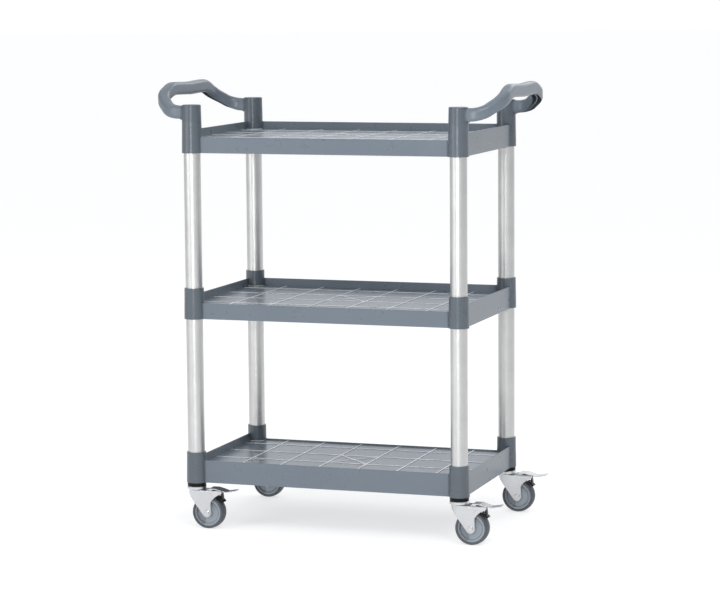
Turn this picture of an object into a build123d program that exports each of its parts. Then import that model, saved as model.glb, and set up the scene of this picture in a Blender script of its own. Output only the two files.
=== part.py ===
"""Three-tier food service trolley: moulded trays on aluminium posts, two end
handles and four braked swivel casters.

Frame: millimetres, +Z up, X along the trolley, the handles at its ends, and -Y
the front. The origin is on the floor, midway between the four posts.
"""

import os
from math import cos, radians, sin

from build123d import *

os.makedirs("parts", exist_ok=True)

# ---------------------------------------------------------------- layout
post_spacing_x = 624.0
post_spacing_y = 386.0
tier_gap = 305.0            # visible length of a post section
fit_clearance = 0.1         # radial clearance of posts, plugs and inserts in sockets
running_clearance = 0.05    # radial clearance of parts that turn on each other

# ---------------------------------------------------------------- wheel and fork
wheel_radius = 37.5
tyre_width = 28.0
tyre_thickness = 6.0
tyre_shoulder = 4.0
tyre_bead = 1.5
hub_beyond_tyre = 1.0       # the hub's boss stands out past the tyre on each side
hub_boss_radius = 11.0
hub_disc_thickness = 17.0
hub_rim_recess = 1.5        # the rim's edge lies inside the tyre's side
hub_rim_thickness = 5.0
hub_rim_radius = 1.2
trail = 30.0                # swivel axis to wheel axle
hub_side_clearance = 0.5
wheel_to_plate = 11.5       # tread to the underside of the fork's plate
fork_sheet = 2.5
fork_boss_radius = 10.0
fork_tail_behind_axle = 36.0
fork_slot_start = 25.0      # where the top plate gives way to the pedal
fork_front_drop = 5.0       # height of the sheet round the front of the head
fork_tail_drop = 6.0        # height of the legs at their rear end
fork_rear_inset = 0.5       # the rear edge stands this far inside the axle boss
fork_rear_rise = 24.0       # straight stretch of the rear edge above the axle
fork_rear_sag = 3.0         # hollow of the rear edge above that stretch
leg_pad_start = 14.0        # the legs are pressed out behind this line
leg_pad_height = 0.6
axle_radius = 4.0
axle_sleeve_wall = 2.0
axle_head_radius = 6.5
axle_head_height = 3.2
axle_head_chamfer = 0.8
axle_end_reach = 0.4        # bolt end beyond its nut
nut_across_flats = 13.0
nut_height = 3.6

# ---------------------------------------------------------------- swivel bearing
insert_flange_beyond_post = 2.5
insert_flange_height = 8.0
insert_end_gap = 1.0        # insert's end to the socket's partition
stem_radius = 5.5
stem_end_gap = 3.0          # stem's end below the insert's end
stem_chamfer = 1.5
king_pin_radius = 4.5
rivet_head_radius = 8.0
rivet_head_height = 2.6
race_beyond_flange = 0.5
race_above_plate = 8.0      # top of the upper race above the fork's plate
race_thickness = 2.5
race_skirt_wall = 2.0
race_skirt_height = 6.6
ball_radius = 2.5
ball_circle_radius = 14.0
ball_count = 14
ball_seat_depth = 1.7       # how deep the balls sit in the lower race
groove_clearance = 0.1
head_boss_radius = 18.0
head_boss_height = 2.6

# ---------------------------------------------------------------- brake
brake_pivot_behind_axle = 8.0
brake_pivot_above_tyre = 5.0
brake_pin_radius = 2.5
brake_pin_head_radius = 4.0
brake_pin_head_height = 1.4
pedal_side_clearance = 0.5
pedal_sheet = 2.0
pedal_knuckle_radius = 4.0
pedal_bend_radius = 4.0
pedal_hump_rise = 3.5       # hump over the pin above the fork's plate
pedal_front_run = 3.0       # hump's start ahead of the pin
pedal_rear_run = 12.0       # hump's end behind the pin
pedal_nose_inset = 2.0      # front end behind the edge of the plate
pedal_nose_drop = 1.5
pedal_dip_run = 9.0         # low point behind the fork
pedal_dip_drop = 3.0
pedal_tip_rise = 1.0        # turned-up tip above the fork's plate
pedal_beyond_fork = 32.0
pedal_tread_width = 27.0
pedal_corner_radius = 8.0
brake_travel = 8.0          # degrees from released to braked
shoe_gap = 0.4              # shoe to tread with the brake on
shoe_thickness = 4.0
shoe_width = 18.0
shoe_start_angle = 31.0
shoe_end_angle = 57.0
shoe_bracket_angle = 37.0
shoe_bracket_width = 12.0
shoe_bracket_thickness = 3.0
shoe_bracket_run = 12.0     # bracket's top behind the end of the pedal's hump
shoe_bracket_drop = 0.7     # and below the top of the fork's plate
shoe_bracket_bite = 1.0     # bracket's foot inside the back of the shoe
spring_wire_radius = 0.5
spring_coil_radius = 3.45
spring_pitch = 1.4
spring_turns = 7

# ---------------------------------------------------------------- posts and sockets
post_radius = 19.0
post_wall = 1.5
socket_height = 70.0
socket_bottom_wall = 3.9
socket_top_wall = 2.9
socket_step = 0.25          # fine ledge round the socket at the height of the lip
socket_web = 6.0            # partition between the two post ends in a socket
socket_web_hole_radius = 9.0
socket_end_gap = 0.5        # post end to partition

# ---------------------------------------------------------------- tray
wall_beyond_post_x = 14.0
wall_beyond_post_y = 6.0
wall_thickness = 3.0
tall_wall_height = 51.0
low_wall_height = 36.0
deck_height = 32.5
deck_thickness = 3.0
wall_edge_radius = 1.0
grid_pitch_x = 93.0
grid_pitch_y = 95.0
deck_bead_width = 2.8
deck_bead_height = 1.0
stiffener_thickness = 2.5
stiffener_depth = 13.0

# ---------------------------------------------------------------- handle
cap_taper = 0.8             # the cap's top is this much narrower than its base
cap_wall = 3.0
cap_edge_radius = 1.5
plug_end_gap = 2.0          # plug's end to the socket's partition
handle_width = 26.0
arm_height = 32.0
arm_below_cap_top = 2.0     # step from the cap's top down to the arm
arm_above_cap_base = 4.0    # and from the arm down to the cap's base
handle_wall = 3.0
handle_crown_radius = 10.0
handle_reach = 88.0         # grip's centre line beyond the posts
grip_rise = 49.0            # grip's centre line above the arm's
corner_rise = 30.0          # the outer corner's centre line above the arm's
grip_dip = 3.0
arm_straight = 24.8         # straight run beyond the cap before the arm's first bend
arm_corner_setback = 40.0
grip_end_setback = 92.0
arm_bend_radius = 46.0
corner_bend_radius = 62.0
grip_blend_radius = 100.0
grip_dip_radius = 400.0
handle_rib_thickness = 1.8
handle_rib_inset = 5.0      # ribs stop this far above the arm's open edge

# ---------------------------------------------------------------- derived levels
axle_z = wheel_radius
half_x = post_spacing_x / 2
half_y = post_spacing_y / 2
tyre_bore_radius = wheel_radius - tyre_thickness
hub_rim_inner_radius = tyre_bore_radius - hub_rim_thickness
hub_rim_half_width = tyre_width / 2 - hub_rim_recess
hub_length = tyre_width + 2 * hub_beyond_tyre
fork_gap = hub_length + 2 * hub_side_clearance
fork_front_radius = fork_gap / 2 + fork_sheet
fork_tail = trail + fork_tail_behind_axle
fork_plate_bottom = 2 * wheel_radius + wheel_to_plate
fork_plate_top = fork_plate_bottom + fork_sheet
leg_face = fork_front_radius + leg_pad_height
race_top = fork_plate_top + race_above_plate
lower_tray_z = race_top + insert_flange_height
axle_sleeve_radius = axle_radius + axle_sleeve_wall
pin_x = trail + brake_pivot_behind_axle
pin_z = (
    axle_z
    + (wheel_radius**2 - brake_pivot_behind_axle**2) ** 0.5
    + brake_pivot_above_tyre
)
pedal_tip_reach = fork_tail + pedal_beyond_fork
insert_flange_radius = post_radius + insert_flange_beyond_post
race_radius = insert_flange_radius + race_beyond_flange
tier_pitch = socket_height + tier_gap
tray_levels = {
    "lower": lower_tray_z,
    "middle": lower_tray_z + tier_pitch,
    "upper": lower_tray_z + 2 * tier_pitch,
}
cap_base = tray_levels["upper"] + socket_height
cap_height = arm_height + arm_below_cap_top + arm_above_cap_base
cap_top = cap_base + cap_height
socket_bore_radius = post_radius + fit_clearance
socket_bottom_radius = socket_bore_radius + socket_bottom_wall
socket_top_radius = socket_bore_radius + socket_top_wall
cap_top_radius = socket_top_radius - cap_taper
web_bottom = (socket_height - socket_web) / 2
web_top = web_bottom + socket_web
post_engagement = web_bottom - socket_end_gap
plug_length = web_bottom - plug_end_gap
insert_depth = web_bottom - insert_end_gap
corners = {
    "front_left": (-half_x, -half_y),
    "front_right": (half_x, -half_y),
    "rear_left": (-half_x, half_y),
    "rear_right": (half_x, half_y),
}
post_centres = GridLocations(post_spacing_x, post_spacing_y, 2, 2)
cut_margin = 1.0            # how far a cutting tool runs past the face it opens


def save(piece, name):
    """Label a finished piece and write it as its own STEP file."""
    piece.label = name
    export_step(piece, f"parts/{name}.step")


# ---------------------------------------------------------------- trays
# One moulding serves all three tiers: tall walls on three sides, a low lip on
# the fourth, and a socket at each corner that takes a post from above and below.
outer_x = post_spacing_x + 2 * wall_beyond_post_x
outer_y = post_spacing_y + 2 * wall_beyond_post_y
inner_x = outer_x - 2 * wall_thickness
inner_y = outer_y - 2 * wall_thickness
deck_bottom = deck_height - deck_thickness
# an even number of lines each way, so that the middle of the deck is a cell
grid_count_x = 2 * int(inner_x / (2 * grid_pitch_x))
grid_count_y = 2 * int(inner_y / (2 * grid_pitch_y))
socket_ledge_radius = socket_bottom_radius - (
    (socket_bottom_radius - socket_top_radius) * low_wall_height / socket_height
)

with BuildPart() as tray:
    with BuildSketch():
        Rectangle(outer_x, outer_y)
    extrude(amount=tall_wall_height)
    # the basin above the deck
    with BuildSketch(Plane.XY.offset(deck_height)):
        Rectangle(inner_x, inner_y)
    extrude(amount=tall_wall_height, mode=Mode.SUBTRACT)
    fillet(edges().group_by(Axis.Z)[-1], wall_edge_radius)
    # the hollow below the deck
    with BuildSketch():
        Rectangle(inner_x, inner_y)
    extrude(amount=deck_bottom, mode=Mode.SUBTRACT)
    # the long wall on the loading side is only a lip
    with BuildSketch(Plane.XY.offset(low_wall_height)):
        with Locations((0, -outer_y / 2)):
            Rectangle(post_spacing_x, 2 * wall_thickness + cut_margin)
    extrude(amount=tall_wall_height, mode=Mode.SUBTRACT)
    lip_edges = edges().filter_by_position(Axis.Z, low_wall_height, low_wall_height)
    fillet(lip_edges.filter_by(Axis.X), wall_edge_radius)
    # beads on the deck and stiffeners below it share one grid
    with BuildSketch(Plane.XY.offset(deck_height)) as grid:
        with GridLocations(grid_pitch_x, 0, grid_count_x, 1):
            Rectangle(deck_bead_width, inner_y)
        with GridLocations(0, grid_pitch_y, 1, grid_count_y):
            Rectangle(inner_x, deck_bead_width)
        cell_diagonal = (grid_pitch_x**2 + grid_pitch_y**2) ** 0.5
        cell_angle = Vector(grid_pitch_x, grid_pitch_y).get_angle(Vector(1, 0))
        for turn in (cell_angle, -cell_angle):
            with Locations(Rotation(0, 0, turn)):
                Rectangle(cell_diagonal, deck_bead_width)
    extrude(amount=deck_bead_height)
    with BuildSketch(Plane.XY.offset(deck_bottom)):
        with GridLocations(grid_pitch_x, 0, grid_count_x, 1):
            Rectangle(stiffener_thickness, inner_y)
        with GridLocations(0, grid_pitch_y, 1, grid_count_y):
            Rectangle(inner_x, stiffener_thickness)
    extrude(amount=-stiffener_depth)
    # corner sockets, tapered for release from the mould, with a ledge level with the lip
    with post_centres:
        Cone(
            socket_bottom_radius,
            socket_ledge_radius,
            low_wall_height,
            align=(Align.CENTER, Align.CENTER, Align.MIN),
        )
        Cone(
            socket_bottom_radius - socket_step,
            socket_top_radius,
            socket_height,
            align=(Align.CENTER, Align.CENTER, Align.MIN),
        )
    with BuildSketch():
        with post_centres:
            Circle(socket_bore_radius)
    extrude(amount=web_bottom, mode=Mode.SUBTRACT)
    with BuildSketch(Plane.XY.offset(web_top)):
        with post_centres:
            Circle(socket_bore_radius)
    extrude(amount=socket_height, mode=Mode.SUBTRACT)
    with BuildSketch():
        with post_centres:
            Circle(socket_web_hole_radius)
    extrude(amount=socket_height, mode=Mode.SUBTRACT)

# The lower tray is turned half round, so that its tall wall is in front.
tray_turns = {"lower": 180, "middle": 0, "upper": 0}
for tier, level in tray_levels.items():
    placed_tray = Pos(0, 0, level) * Rot(0, 0, tray_turns[tier]) * tray.part
    save(placed_tray, f"{tier}_tray")

# ---------------------------------------------------------------- posts
for section, tray_below in (("lower", "lower"), ("upper", "middle")):
    post_bottom = tray_levels[tray_below] + web_top + socket_end_gap
    post_length = tier_gap + 2 * post_engagement
    for corner, (x, y) in corners.items():
        with BuildPart() as post:
            with BuildSketch(Plane((x, y, post_bottom))):
                Circle(post_radius)
                Circle(post_radius - post_wall, mode=Mode.SUBTRACT)
            extrude(amount=post_length)
        save(post.part, f"{section}_post_{corner}")

# ---------------------------------------------------------------- handles
# Each end handle is one moulding: two caps that plug into the upper sockets,
# arms that swing out and up from them, and a grip across the end. It is a
# channel, open below, with a rib along its middle.
arm_z = cap_top - arm_below_cap_top - arm_height / 2
grip_z = arm_z + grip_rise
channel_start = cap_top_radius + cap_wall
arm_bend_x = half_x + channel_start + arm_straight


def handle_line(start, rise=0.0):
    """Centre line from one cap to the other, begun `start` beyond the posts."""
    arm_corner_y = half_y - arm_corner_setback
    grip_end_y = half_y - grip_end_setback
    half_line = [
        (half_x + start, half_y, arm_z + rise),
        (arm_bend_x, half_y, arm_z + rise),
        (half_x + handle_reach, arm_corner_y, arm_z + corner_rise + rise),
        (half_x + handle_reach, grip_end_y, grip_z + rise),
    ]
    far_half = [(px, -py, pz) for px, py, pz in reversed(half_line)]
    middle = [(half_x + handle_reach, 0, grip_z - grip_dip + rise)]
    bends = [arm_bend_radius, corner_bend_radius, grip_blend_radius]
    return FilletPolyline(
        *half_line, *middle, *far_half, radius=bends + [grip_dip_radius] + bends[::-1]
    )


def channel_profile(start):
    """Plane of a handle section square to the arm where it starts."""
    start_point = (half_x + start, half_y, arm_z)
    return Plane(origin=start_point, x_dir=(0, 1, 0), z_dir=(1, 0, 0))


guide_rise = 200.0          # guide line above the centre line, keeps sections upright
rib_height = arm_height - handle_rib_inset - handle_wall / 2
plug_radius = post_radius

with BuildPart() as right_handle:
    with BuildLine() as arm_line:
        handle_line(0)
    with BuildLine() as arm_guide:
        handle_line(0, guide_rise)
    with BuildSketch(channel_profile(0)) as arm_section:
        Rectangle(handle_width, arm_height)
        crown = arm_section.vertices().group_by(Axis.Z)[-1]
        fillet(crown, handle_crown_radius)
    sweep(path=arm_line.wires()[0], binormal=arm_guide.wires()[0])
    # hollow the arm and the grip from below
    with BuildLine() as channel_line:
        handle_line(channel_start)
    with BuildLine() as channel_guide:
        handle_line(channel_start, guide_rise)
    with BuildSketch(channel_profile(channel_start)) as channel_section:
        with Locations((0, -handle_wall)):
            Rectangle(handle_width - 2 * handle_wall, arm_height)
        crown = channel_section.vertices().group_by(Axis.Z)[-1]
        fillet(crown, handle_crown_radius - handle_wall)
    sweep(
        path=channel_line.wires()[0],
        binormal=channel_guide.wires()[0],
        mode=Mode.SUBTRACT,
    )
    # the rib along the middle of the channel
    with BuildSketch(channel_profile(channel_start)):
        with Locations((0, handle_rib_inset / 2)):
            Rectangle(handle_rib_thickness, rib_height)
    sweep(path=channel_line.wires()[0], binormal=channel_guide.wires()[0])
    # caps over the sockets
    for side in (-half_y, half_y):
        with BuildSketch(Plane((half_x, side, cap_base))):
            Circle(socket_top_radius)
        with BuildSketch(Plane((half_x, side, cap_top))):
            Circle(cap_top_radius)
        loft()
    cap_rims = edges().filter_by_position(Axis.Z, cap_top, cap_top)
    fillet(cap_rims.filter_by(GeomType.CIRCLE), cap_edge_radius)
    # plugs, and the hollow up inside each cap
    for side in (-half_y, half_y):
        with BuildSketch(Plane((half_x, side, cap_base - plug_length))):
            Circle(plug_radius)
        extrude(amount=plug_length)
        with BuildSketch(Plane((half_x, side, cap_base - plug_length))):
            Circle(plug_radius - cap_wall)
        extrude(amount=plug_length + cap_height - cap_wall, mode=Mode.SUBTRACT)
save(right_handle.part, "right_handle")

with BuildPart() as left_handle:
    mirror(objects=right_handle.part, about=Plane.YZ)
save(left_handle.part, "left_handle")

# ---------------------------------------------------------------- caster inserts
# Black plastic sleeves pushed up into the lower sockets, each with a collar
# that carries the caster's race.
with BuildPart() as caster_inserts:
    with BuildSketch(Plane.XY.offset(race_top)):
        with post_centres:
            Circle(insert_flange_radius)
    extrude(amount=insert_flange_height)
    with BuildSketch(Plane.XY.offset(lower_tray_z)):
        with post_centres:
            Circle(post_radius)
    extrude(amount=insert_depth)
    with BuildSketch(Plane.XY.offset(race_top)):
        with post_centres:
            Circle(stem_radius + running_clearance)
    extrude(amount=insert_flange_height + insert_depth, mode=Mode.SUBTRACT)
save(caster_inserts.part, "caster_inserts")

# ---------------------------------------------------------------- caster stems
# Stem, upper ball race and king pin, riveted over below the fork's plate.
ball_z = fork_plate_top + head_boss_height + ball_radius - ball_seat_depth
race_bottom = race_top - race_thickness
stem_top = lower_tray_z + insert_depth - stem_end_gap
rivet_top = fork_plate_bottom - 2 * running_clearance
skirt_bottom = race_top - race_skirt_height

with BuildPart() as stem:
    with BuildSketch(Plane.XZ):
        with BuildLine():
            Polyline(
                (0, rivet_top - rivet_head_height),
                (rivet_head_radius, rivet_top - rivet_head_height),
                (rivet_head_radius, rivet_top),
                (king_pin_radius, rivet_top),
                (king_pin_radius, race_bottom),
                (race_radius - race_skirt_wall, race_bottom),
                (race_radius - race_skirt_wall, skirt_bottom),
                (race_radius, skirt_bottom),
                (race_radius, race_top - race_skirt_wall),
                (race_radius - race_skirt_wall, race_top),
                (stem_radius, race_top),
                (stem_radius, stem_top - stem_chamfer),
                (stem_radius - stem_chamfer, stem_top),
                (0, stem_top),
                close=True,
            )
        make_face()
        with Locations((ball_circle_radius, ball_z)):
            Circle(ball_radius + groove_clearance, mode=Mode.SUBTRACT)
    revolve(axis=Axis.Z)

with BuildPart() as caster_stems:
    with post_centres:
        add(stem.part)
save(caster_stems.part, "caster_stems")

# ---------------------------------------------------------------- caster pieces
# One caster is modelled about its swivel axis, trailing towards +X, and then
# placed at each corner.
rear_edge_x = trail + fork_boss_radius - fork_rear_inset
boss_front_angle = radians(217)     # where the slanting front edge meets the boss

with BuildPart() as fork:
    # side outline of the legs, through the full width
    with BuildSketch(Plane.XZ):
        with BuildLine():
            front_top = (-fork_front_radius, fork_plate_top)
            front_low = (-fork_front_radius, fork_plate_top - fork_front_drop)
            boss_front = (
                trail + fork_boss_radius * cos(boss_front_angle),
                axle_z + fork_boss_radius * sin(boss_front_angle),
            )
            boss_bottom = (trail, axle_z - fork_boss_radius)
            boss_rear = (trail + fork_boss_radius, axle_z)
            rear_straight_top = (rear_edge_x, axle_z + fork_rear_rise)
            tail_low = (fork_tail, fork_plate_top - fork_tail_drop)
            tail_top = (fork_tail, fork_plate_top)
            Polyline(tail_low, tail_top, front_top, front_low, boss_front)
            ThreePointArc(boss_front, boss_bottom, boss_rear)
            Line(boss_rear, rear_straight_top)
            SagittaArc(rear_straight_top, tail_low, fork_rear_sag)
        make_face()
    extrude(amount=fork_gap, both=True)
    # the sheet wraps round the head at the front, and the legs step out behind it
    with BuildSketch():
        Circle(fork_front_radius)
        with Locations((fork_tail / 2, 0)):
            Rectangle(fork_tail, 2 * fork_front_radius)
        with Locations(((leg_pad_start + fork_tail) / 2, 0)):
            Rectangle(fork_tail - leg_pad_start, 2 * leg_face)
    extrude(amount=fork_plate_top, mode=Mode.INTERSECT)
    # bend along the top of each leg
    with BuildSketch(Plane.YZ) as bend_section:
        with Locations((0, fork_plate_top / 2)):
            Rectangle(2 * leg_face, fork_plate_top)
        fillet(bend_section.vertices().group_by(Axis.Z)[-1], fork_sheet)
    extrude(amount=fork_tail + cut_margin, both=True, mode=Mode.INTERSECT)
    # room for the wheel
    with BuildSketch():
        Circle(fork_gap / 2)
        with Locations((fork_tail / 2 + cut_margin, 0)):
            Rectangle(fork_tail + 2 * cut_margin, fork_gap)
    extrude(amount=fork_plate_bottom, mode=Mode.SUBTRACT)
    # room for the pedal behind the head
    with BuildSketch():
        with Locations(((fork_slot_start + fork_tail + cut_margin) / 2, 0)):
            Rectangle(fork_tail + cut_margin - fork_slot_start, fork_gap)
    extrude(amount=fork_plate_top + cut_margin, mode=Mode.SUBTRACT)
    # head boss that carries the lower ball race
    with BuildSketch(Plane.XY.offset(fork_plate_top)):
        Circle(head_boss_radius)
    extrude(amount=head_boss_height)
    with BuildSketch(Plane.XZ):
        with Locations((ball_circle_radius, ball_z)):
            Circle(ball_radius + groove_clearance)
    revolve(axis=Axis.Z, mode=Mode.SUBTRACT)
    with BuildSketch(Plane.XY.offset(fork_plate_bottom - cut_margin)):
        Circle(king_pin_radius + 2 * running_clearance)
    extrude(amount=fork_sheet + head_boss_height + 2 * cut_margin, mode=Mode.SUBTRACT)
    # axle holes and brake pin holes
    with BuildSketch(Plane.XZ):
        with Locations((trail, axle_z)):
            Circle(axle_radius + fit_clearance)
        with Locations((pin_x, pin_z)):
            Circle(brake_pin_radius + running_clearance)
    extrude(amount=fork_gap, both=True, mode=Mode.SUBTRACT)

with BuildPart() as race_balls:
    with PolarLocations(ball_circle_radius, ball_count):
        with Locations((0, 0, ball_z)):
            Sphere(ball_radius)

axle_end = leg_face + nut_height + axle_end_reach

with BuildPart() as axle_bolt:
    with BuildSketch(Plane.XZ.offset(leg_face)):
        with Locations((trail, axle_z)):
            Circle(axle_head_radius)
    extrude(amount=axle_head_height)
    chamfer(faces().sort_by(Axis.Y)[0].edges(), axle_head_chamfer)
    with BuildSketch(Plane.XZ.offset(leg_face)):
        with Locations((trail, axle_z)):
            Circle(axle_radius)
    extrude(amount=-(leg_face + axle_end))

with BuildPart() as axle_nut:
    with BuildSketch(Plane.XZ.offset(-leg_face)):
        with Locations((trail, axle_z)):
            RegularPolygon(nut_across_flats / 2, 6, major_radius=False)
            Circle(axle_radius + running_clearance, mode=Mode.SUBTRACT)
    extrude(amount=-nut_height)

with BuildPart() as axle_sleeve:
    with BuildSketch(Plane.XZ):
        with Locations((trail, axle_z)):
            Circle(axle_sleeve_radius)
            Circle(axle_radius + fit_clearance, mode=Mode.SUBTRACT)
    extrude(amount=fork_gap / 2, both=True)

wheel_axis = Axis((trail, 0, axle_z), (0, 1, 0))
wheel_plane = Plane(origin=(trail, 0, axle_z), x_dir=(1, 0, 0), z_dir=(0, 0, 1))

with BuildPart() as wheel_hub:
    hub_bore_radius = axle_sleeve_radius + running_clearance
    with BuildSketch(wheel_plane):
        with Locations(((hub_bore_radius + hub_boss_radius) / 2, 0)):
            Rectangle(hub_boss_radius - hub_bore_radius, hub_length)
        with Locations(((hub_bore_radius + tyre_bore_radius) / 2, 0)):
            Rectangle(tyre_bore_radius - hub_bore_radius, hub_disc_thickness)
    revolve(axis=wheel_axis)
    with BuildSketch(wheel_plane) as rim_section:
        with Locations(((hub_rim_inner_radius + tyre_bore_radius) / 2, 0)):
            Rectangle(hub_rim_thickness, 2 * hub_rim_half_width)
        fillet(rim_section.vertices().group_by(Axis.X)[0], hub_rim_radius)
    revolve(axis=wheel_axis)

with BuildPart() as tyre:
    with BuildSketch(wheel_plane) as tyre_section:
        tyre_inner = tyre_bore_radius + running_clearance
        with Locations(((tyre_inner + wheel_radius) / 2, 0)):
            Rectangle(wheel_radius - tyre_inner, tyre_width)
        shoulders = tyre_section.vertices().group_by(Axis.X)[-1]
        fillet(shoulders, tyre_shoulder)
        beads = tyre_section.vertices().group_by(Axis.X)[0]
        fillet(beads, tyre_bead)
    revolve(axis=wheel_axis)

# ---------------------------------------------------------------- brake pieces
pedal_half = fork_gap / 2 - pedal_side_clearance
hump_z = fork_plate_top + pedal_hump_rise
pedal_line = [
    (fork_slot_start + pedal_nose_inset, fork_plate_top - pedal_nose_drop),
    (pin_x - pedal_front_run, hump_z),
    (pin_x + pedal_rear_run, hump_z),
    (fork_tail + pedal_dip_run, fork_plate_top - pedal_dip_drop),
    (pedal_tip_reach, fork_plate_top + pedal_tip_rise),
]

with BuildPart() as brake_pedal:
    # treadle plate, bent from strip
    with BuildSketch(Plane.XZ):
        with BuildLine():
            FilletPolyline(*pedal_line, radius=pedal_bend_radius)
        trace(line_width=pedal_sheet)
    extrude(amount=pedal_half, both=True)
    # the tread narrows behind the fork and its corners are rounded
    with BuildSketch() as plan:
        with Locations(((fork_slot_start + fork_tail) / 2, 0)):
            Rectangle(fork_tail - fork_slot_start, 2 * pedal_half)
        with Locations(((fork_tail + pedal_tip_reach) / 2, 0)):
            Rectangle(pedal_beyond_fork + 2 * pedal_sheet, pedal_tread_width)
        fillet(plan.vertices().group_by(Axis.X)[-1], pedal_corner_radius)
    extrude(amount=hump_z + pedal_sheet, mode=Mode.INTERSECT)
    # cheeks that hang from the plate to the pin
    for outward in (1, -1):
        with BuildSketch(Plane.XZ.offset(outward * pedal_half)):
            with Locations((pin_x, (pin_z + hump_z) / 2)):
                Rectangle(2 * pedal_knuckle_radius, hump_z - pin_z)
            with Locations((pin_x, pin_z)):
                Circle(pedal_knuckle_radius)
        extrude(amount=-outward * pedal_sheet)
    with BuildSketch(Plane.XZ):
        with Locations((pin_x, pin_z)):
            Circle(brake_pin_radius + running_clearance)
    extrude(amount=pedal_half, both=True, mode=Mode.SUBTRACT)

shoe_inner = wheel_radius + shoe_gap
shoe_outer = shoe_inner + shoe_thickness
shoe_middle_angle = (shoe_start_angle + shoe_end_angle) / 2
# The shoe is drawn against the tread, and this plane swings it back to released.
released = Plane(
    origin=(pin_x, 0, pin_z),
    x_dir=(cos(radians(brake_travel)), 0, sin(radians(brake_travel))),
    z_dir=(0, -1, 0),
)


def tread_point(radius, angle):
    """Point `angle` degrees up behind the axle, measured from the brake pin."""
    behind = trail + radius * cos(radians(angle)) - pin_x
    above = axle_z + radius * sin(radians(angle)) - pin_z
    return (behind, above)


with BuildPart() as brake_shoe:
    with BuildSketch(released):
        with BuildLine():
            low_in = tread_point(shoe_inner, shoe_start_angle)
            high_in = tread_point(shoe_inner, shoe_end_angle)
            low_out = tread_point(shoe_outer, shoe_start_angle)
            high_out = tread_point(shoe_outer, shoe_end_angle)
            ThreePointArc(low_in, tread_point(shoe_inner, shoe_middle_angle), high_in)
            Line(high_in, high_out)
            ThreePointArc(high_out, tread_point(shoe_outer, shoe_middle_angle), low_out)
            Line(low_out, low_in)
        make_face()
    extrude(amount=shoe_width / 2, both=True)
    # bracket up to the underside of the tread plate
    shoe_back = tread_point(shoe_outer - shoe_bracket_bite, shoe_bracket_angle)
    foot = released.from_local_coords(shoe_back)
    bracket_x = pin_x + pedal_rear_run + shoe_bracket_run
    bracket_top = fork_plate_top - shoe_bracket_drop
    with BuildSketch(Plane.XZ):
        with BuildLine():
            Polyline(
                (foot.X, foot.Z),
                (foot.X - shoe_bracket_thickness, foot.Z),
                (bracket_x - shoe_bracket_thickness, bracket_top),
                (bracket_x, bracket_top),
                close=True,
            )
        make_face()
    extrude(amount=shoe_bracket_width / 2, both=True)

with BuildPart() as brake_pin:
    with BuildSketch(Plane.XZ):
        with Locations((pin_x, pin_z)):
            Circle(brake_pin_radius)
    extrude(amount=leg_face, both=True)
    for outward in (1, -1):
        with BuildSketch(Plane.XZ.offset(outward * leg_face)):
            with Locations((pin_x, pin_z)):
                Circle(brake_pin_head_radius)
        extrude(amount=outward * brake_pin_head_height)

coil_length = spring_pitch * spring_turns
with BuildPart() as brake_spring:
    with BuildLine() as coil:
        Helix(
            spring_pitch,
            coil_length,
            spring_coil_radius,
            center=(pin_x, -coil_length / 2, pin_z),
            direction=(0, 1, 0),
        )
    with BuildSketch(coil.line ^ 0):
        Circle(spring_wire_radius)
    sweep(path=coil.line, is_frenet=True)

# ---------------------------------------------------------------- placing the casters
caster_pieces = {
    "fork": fork,
    "race_balls": race_balls,
    "axle_bolt": axle_bolt,
    "axle_nut": axle_nut,
    "axle_sleeve": axle_sleeve,
    "wheel_hub": wheel_hub,
    "tyre": tyre,
    "brake_pedal": brake_pedal,
    "brake_shoe": brake_shoe,
    "brake_pin": brake_pin,
    "brake_spring": brake_spring,
}
for corner, (x, y) in corners.items():
    for piece_name, piece in caster_pieces.items():
        save(Pos(x, y, 0) * piece.part, f"{corner}_{piece_name}")
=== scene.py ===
"""Looks of a three-tier food service trolley, laid out as a Blender add-on and run as a script.

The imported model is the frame. Its nodes keep their shape and place, and get rounded edges
and node materials here; the pieces whose surface needs more are built over them.
"""

import math

import bpy
from bpy.props import FloatProperty, FloatVectorProperty, PointerProperty
from mathutils import Matrix, Vector


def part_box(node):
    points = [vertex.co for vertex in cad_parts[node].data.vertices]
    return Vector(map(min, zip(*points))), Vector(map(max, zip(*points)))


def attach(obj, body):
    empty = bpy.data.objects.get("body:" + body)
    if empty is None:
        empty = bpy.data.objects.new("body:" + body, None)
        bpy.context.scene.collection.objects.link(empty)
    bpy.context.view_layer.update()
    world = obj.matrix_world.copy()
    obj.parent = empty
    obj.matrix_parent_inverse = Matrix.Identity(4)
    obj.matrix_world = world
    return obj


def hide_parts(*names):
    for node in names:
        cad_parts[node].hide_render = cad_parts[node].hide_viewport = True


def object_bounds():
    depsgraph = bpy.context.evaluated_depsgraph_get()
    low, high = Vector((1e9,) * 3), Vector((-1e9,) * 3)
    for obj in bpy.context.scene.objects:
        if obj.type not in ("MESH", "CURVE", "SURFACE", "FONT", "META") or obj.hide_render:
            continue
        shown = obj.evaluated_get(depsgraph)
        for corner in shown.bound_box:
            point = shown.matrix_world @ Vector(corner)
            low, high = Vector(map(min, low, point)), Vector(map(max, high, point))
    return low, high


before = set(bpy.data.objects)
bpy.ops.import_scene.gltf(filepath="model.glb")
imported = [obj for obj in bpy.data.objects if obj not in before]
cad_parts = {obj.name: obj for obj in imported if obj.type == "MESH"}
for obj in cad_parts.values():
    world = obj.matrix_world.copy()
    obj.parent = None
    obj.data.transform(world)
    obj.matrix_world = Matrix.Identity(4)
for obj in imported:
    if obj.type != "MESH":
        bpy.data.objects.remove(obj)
cad_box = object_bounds()

bl_info = {
    "name": "Food Service Trolley Finish",
    "version": (1, 0, 0),
    "blender": (4, 5, 0),
    "location": "View3D > Sidebar > Trolley",
    "description": "Builds the materials, moulded details and studio of a three-tier trolley",
    "category": "Object",
}

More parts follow.
